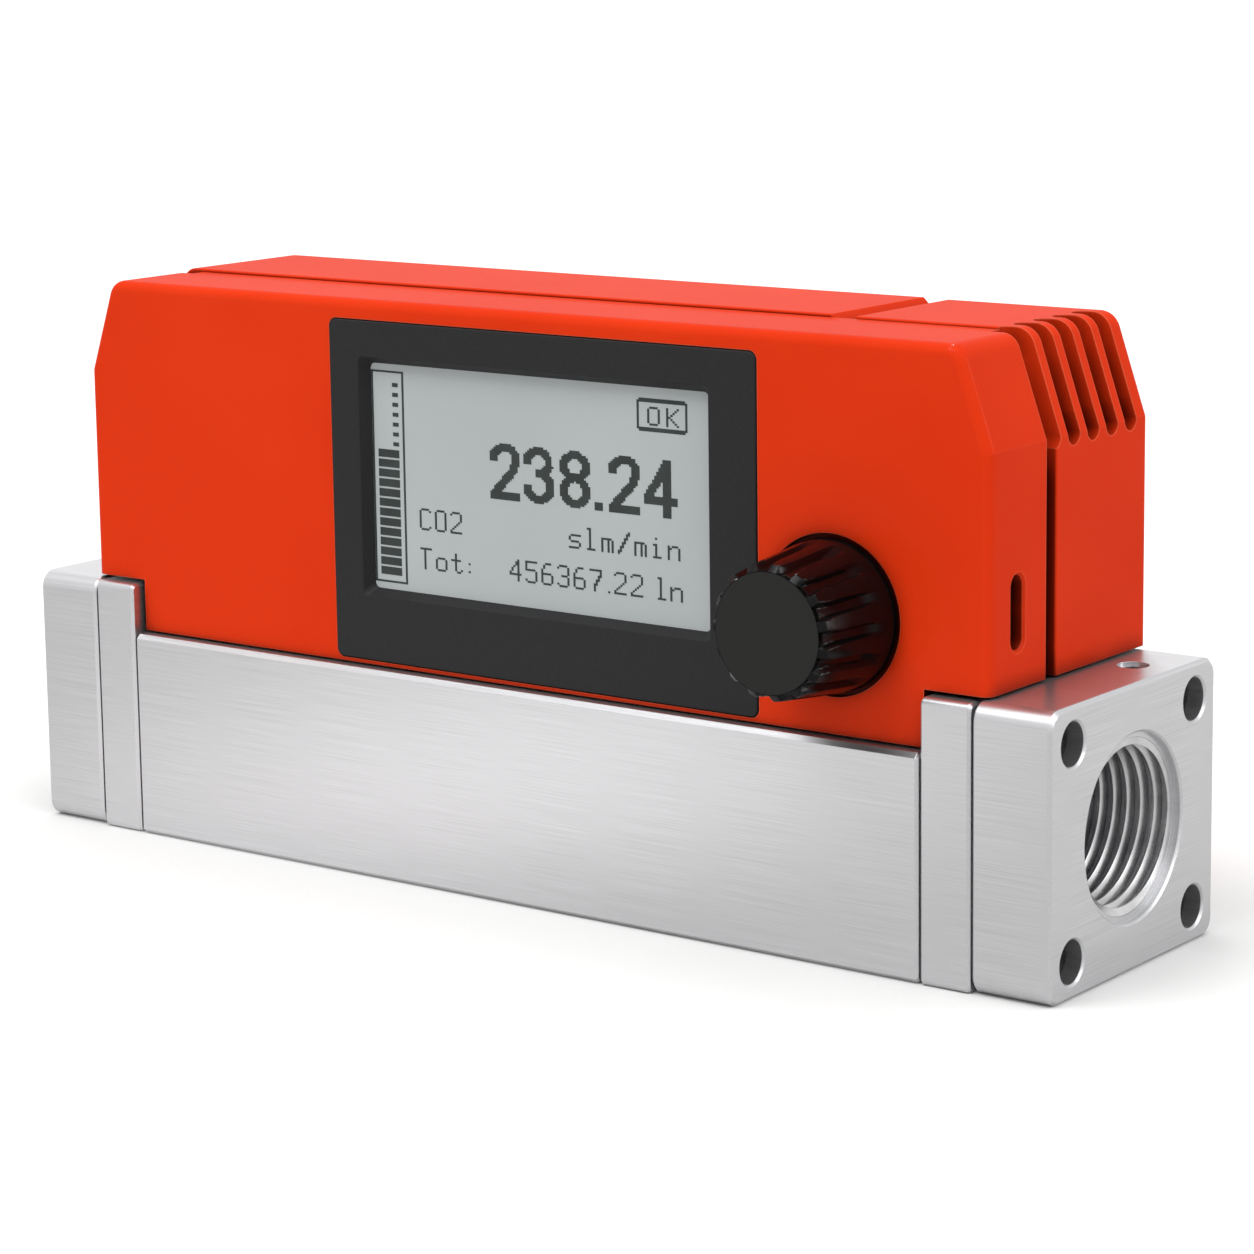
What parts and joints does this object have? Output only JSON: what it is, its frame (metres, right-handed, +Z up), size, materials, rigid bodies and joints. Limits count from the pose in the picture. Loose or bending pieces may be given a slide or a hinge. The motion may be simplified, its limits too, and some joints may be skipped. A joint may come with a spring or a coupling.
{
  "type": "thermal mass flow meter",
  "caption": "In-line gas flow meter: metal flow body with threaded end ports under a red display housing with a push-and-turn knob.",
  "frame": {"origin": "bottom centre of the metal flow body, on the surface it stands on", "axes": "+X along the flow to the outlet, -Y towards the display side, +Z up"},
  "size_m": [0.1582, 0.0532, 0.0744],
  "materials": {
    "brushed_aluminium": "fine brushed, clear anodised",
    "red_housing": "moulded, fine satin texture",
    "bezel_plate": "matte dark grey",
    "display_glass": "grey reflective display cell",
    "light_guide": "clear acrylic light plate",
    "knob_black": "gloss black",
    "knob_face": "matte black",
    "black_screw": "black oxide",
    "bright_steel": "bright steel",
    "plated_shell": "nickel plated",
    "brass": "turned brass",
    "seal_rubber": "black elastomer",
    "circuit_board": "green solder mask",
    "black_insert": "black moulded insulator",
    "zinc_sheet": "zinc plated sheet"
  },
  "bodies": {
    "root": {"flow_body": "brushed_aluminium", "inlet_spacer": "brushed_aluminium", "outlet_spacer": "brushed_aluminium", "inlet_port_block": "brushed_aluminium", "outlet_port_block": "brushed_aluminium", "inlet_port_screws": "black_screw", "outlet_port_screws": "black_screw", "inlet_spacer_screws": "bright_steel", "outlet_spacer_screws": "bright_steel", "inlet_port_seal": "seal_rubber", "outlet_port_seal": "seal_rubber", "inlet_body_seal": "seal_rubber", "outlet_body_seal": "seal_rubber", "inlet_test_plug": "bright_steel", "outlet_test_plug": "bright_steel", "inlet_screen": "bright_steel", "outlet_screen": "bright_steel", "laminar_element": "bright_steel", "sensor_module": "black_insert", "sensor_seal": "seal_rubber", "sensor_screws": "bright_steel", "front_cover": "red_housing", "rear_cover": "red_housing", "vented_cover": "red_housing", "display_bezel": "bezel_plate", "display_glass": "display_glass", "display_light": "light_guide", "display_board": "circuit_board", "display_board_screws": "bright_steel", "service_socket": "plated_shell", "socket_tongue": "black_insert", "socket_board": "circuit_board", "encoder_case": "black_insert", "encoder_nut": "brass", "chassis": "zinc_sheet", "chassis_screws": "bright_steel", "front_cover_screws": "bright_steel", "rear_cover_screws": "black_screw", "board_standoffs": "brass", "main_board": "circuit_board", "connector_shell": "plated_shell", "connector_insert": "black_insert", "connector_posts": "plated_shell"},
    "encoder_rotor": {"encoder_rotor": "brass"},
    "knob": {"encoder_shaft": "brass", "knob": "knob_black", "knob_cap": "knob_face"}
  },
  "joints": [
    {"name": "knob_turn", "type": "hinge", "parent": "root", "child": "encoder_rotor", "pos_m": [0.0485, -0.0134, 0.0415], "axis": [0, -1, 0], "continuous": true},
    {"name": "knob_press", "type": "slide", "parent": "encoder_rotor", "child": "knob", "axis": [0, 1, 0], "range_m": [0, 0.0005], "stiffness_N_per_m": 1500, "springref_m": -0.001}
  ]
}
